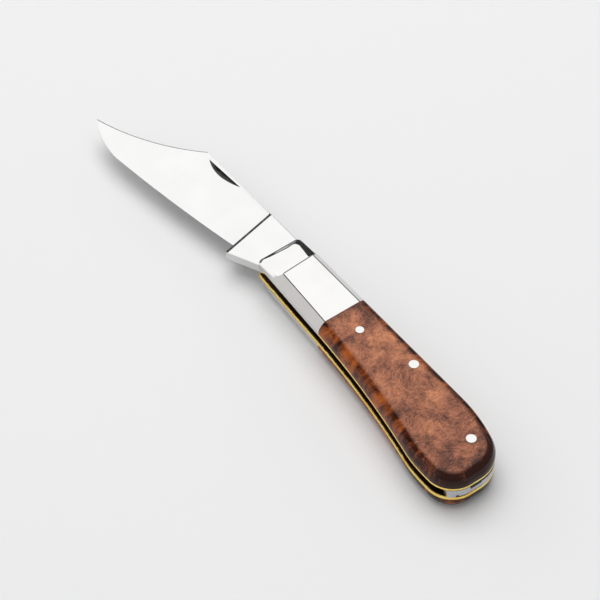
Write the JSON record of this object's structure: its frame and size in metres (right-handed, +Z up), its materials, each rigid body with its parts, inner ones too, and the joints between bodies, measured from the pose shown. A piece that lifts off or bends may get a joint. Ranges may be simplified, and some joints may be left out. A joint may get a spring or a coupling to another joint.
{
  "type": "folding pocket knife",
  "caption": "Slip-joint pocket knife, open: clip-point steel blade with a nail nick, long metal bolsters, burl wood scales, brass liners and a leaf backspring.",
  "frame": {"origin": "middle of the base of the open knife, on the surface that it lies on", "axes": "+X along the handle towards the butt, +Y towards the back, +Z up through the mark side"},
  "size_m": [0.1476, 0.0202, 0.0109],
  "materials": {
    "blade_steel": "polished",
    "spring_steel": "satin",
    "bolster_metal": "polished nickel silver",
    "pin_metal": "polished nickel silver",
    "liner_brass": "satin",
    "scale_wood": "polished burl"
  },
  "bodies": {
    "handle": {"backspring": "spring_steel", "mark_liner": "liner_brass", "pile_liner": "liner_brass", "mark_bolster": "bolster_metal", "pile_bolster": "bolster_metal", "mark_scale": "scale_wood", "pile_scale": "scale_wood", "pivot_pin": "bolster_metal", "spring_pin": "pin_metal", "butt_pin": "pin_metal", "mark_scale_pin": "pin_metal", "pile_scale_pin": "pin_metal", "mark_bolster_rivets": "bolster_metal", "pile_bolster_rivets": "bolster_metal"},
    "blade": {"blade": "blade_steel"}
  },
  "joints": [
    {"name": "blade_pivot", "type": "hinge", "parent": "handle", "child": "blade", "pos_m": [-0.00237, 0.0025, 0.00545], "axis": [0, 0, 1], "range_deg": [0, 167], "deforming": ["backspring"]}
  ]
}
